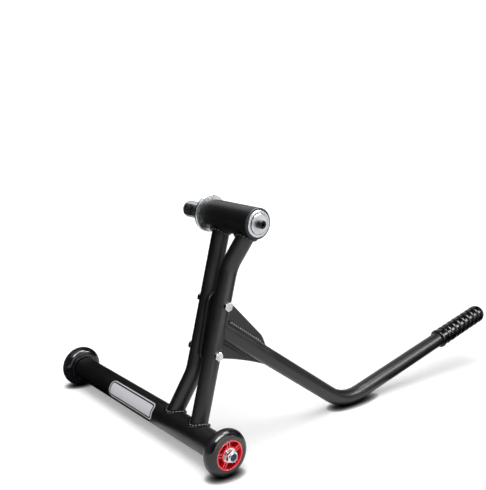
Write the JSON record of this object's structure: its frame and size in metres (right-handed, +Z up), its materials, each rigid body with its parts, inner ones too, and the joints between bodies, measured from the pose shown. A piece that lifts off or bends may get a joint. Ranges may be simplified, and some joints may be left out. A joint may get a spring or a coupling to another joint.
{
  "type": "paddock stand",
  "caption": "Single-sided rear paddock stand: wheeled cross tube, bent uprights carrying a lift pin, and a long bolted-on bent lever with a rubber grip.",
  "frame": {"origin": "on the floor, under the middle of the stand's overall box, with the stand in its raised position", "axes": "+X along the cross tube towards the uprights and the lever, +Y from the wheels along the lever, +Z up"},
  "size_m": [0.5078, 0.7696, 0.4033],
  "materials": {
    "black_powder_coat": "satin black powder coat on steel",
    "zinc_plated_steel": "bright zinc plate",
    "turned_steel": "turned and zinc plated",
    "bearing_steel": "ground",
    "black_oxide_steel": "black oxide",
    "red_plastic": "glossy red moulding",
    "black_polyurethane": "glossy cast polyurethane",
    "black_rubber": "matte moulded rubber",
    "blue_nylon": "nylon locking insert"
  },
  "bodies": {
    "stand": {"base_tube": "black_powder_coat", "left_upright": "black_powder_coat", "right_upright": "black_powder_coat", "receiver_tube": "black_powder_coat", "receiver_left_bush": "turned_steel", "receiver_right_bush": "turned_steel", "lever_tube": "black_powder_coat", "lever_fishtail_plate": "black_powder_coat", "lever_grip": "black_rubber", "lever_bolts": "zinc_plated_steel", "lever_nuts": "zinc_plated_steel", "left_end_plug": "black_powder_coat", "left_wheel_stud": "zinc_plated_steel", "left_bearing_sleeve": "turned_steel", "left_bearing_inner_rings": "bearing_steel", "left_wheel_washer": "zinc_plated_steel", "left_wheel_nut": "zinc_plated_steel", "left_nut_insert": "blue_nylon", "right_end_plug": "black_powder_coat", "right_wheel_stud": "zinc_plated_steel", "right_bearing_sleeve": "turned_steel", "right_bearing_inner_rings": "bearing_steel", "right_wheel_washer": "zinc_plated_steel", "right_wheel_nut": "zinc_plated_steel", "right_nut_insert": "blue_nylon"},
    "left_wheel": {"left_wheel_tyre": "black_polyurethane", "left_wheel_hub": "red_plastic", "left_bearing_outer_rings": "bearing_steel"},
    "right_wheel": {"right_wheel_tyre": "black_polyurethane", "right_wheel_hub": "red_plastic", "right_bearing_outer_rings": "bearing_steel"},
    "lift_pin_assembly": {"lift_pin": "turned_steel", "pin_retaining_disc": "turned_steel", "pin_screw": "black_oxide_steel"}
  },
  "joints": [
    {"name": "left_wheel_spin", "type": "hinge", "parent": "stand", "child": "left_wheel", "pos_m": [0.2324, -0.34726, 0.0375], "axis": [1, 0, 0], "continuous": true},
    {"name": "right_wheel_spin", "type": "hinge", "parent": "stand", "child": "right_wheel", "pos_m": [-0.2324, -0.34726, 0.0375], "axis": [1, 0, 0], "continuous": true},
    {"name": "lift_pin_spin", "type": "hinge", "parent": "stand", "child": "lift_pin_assembly", "pos_m": [0.1484, -0.26466, 0.373], "axis": [1, 0, 0], "continuous": true}
  ]
}
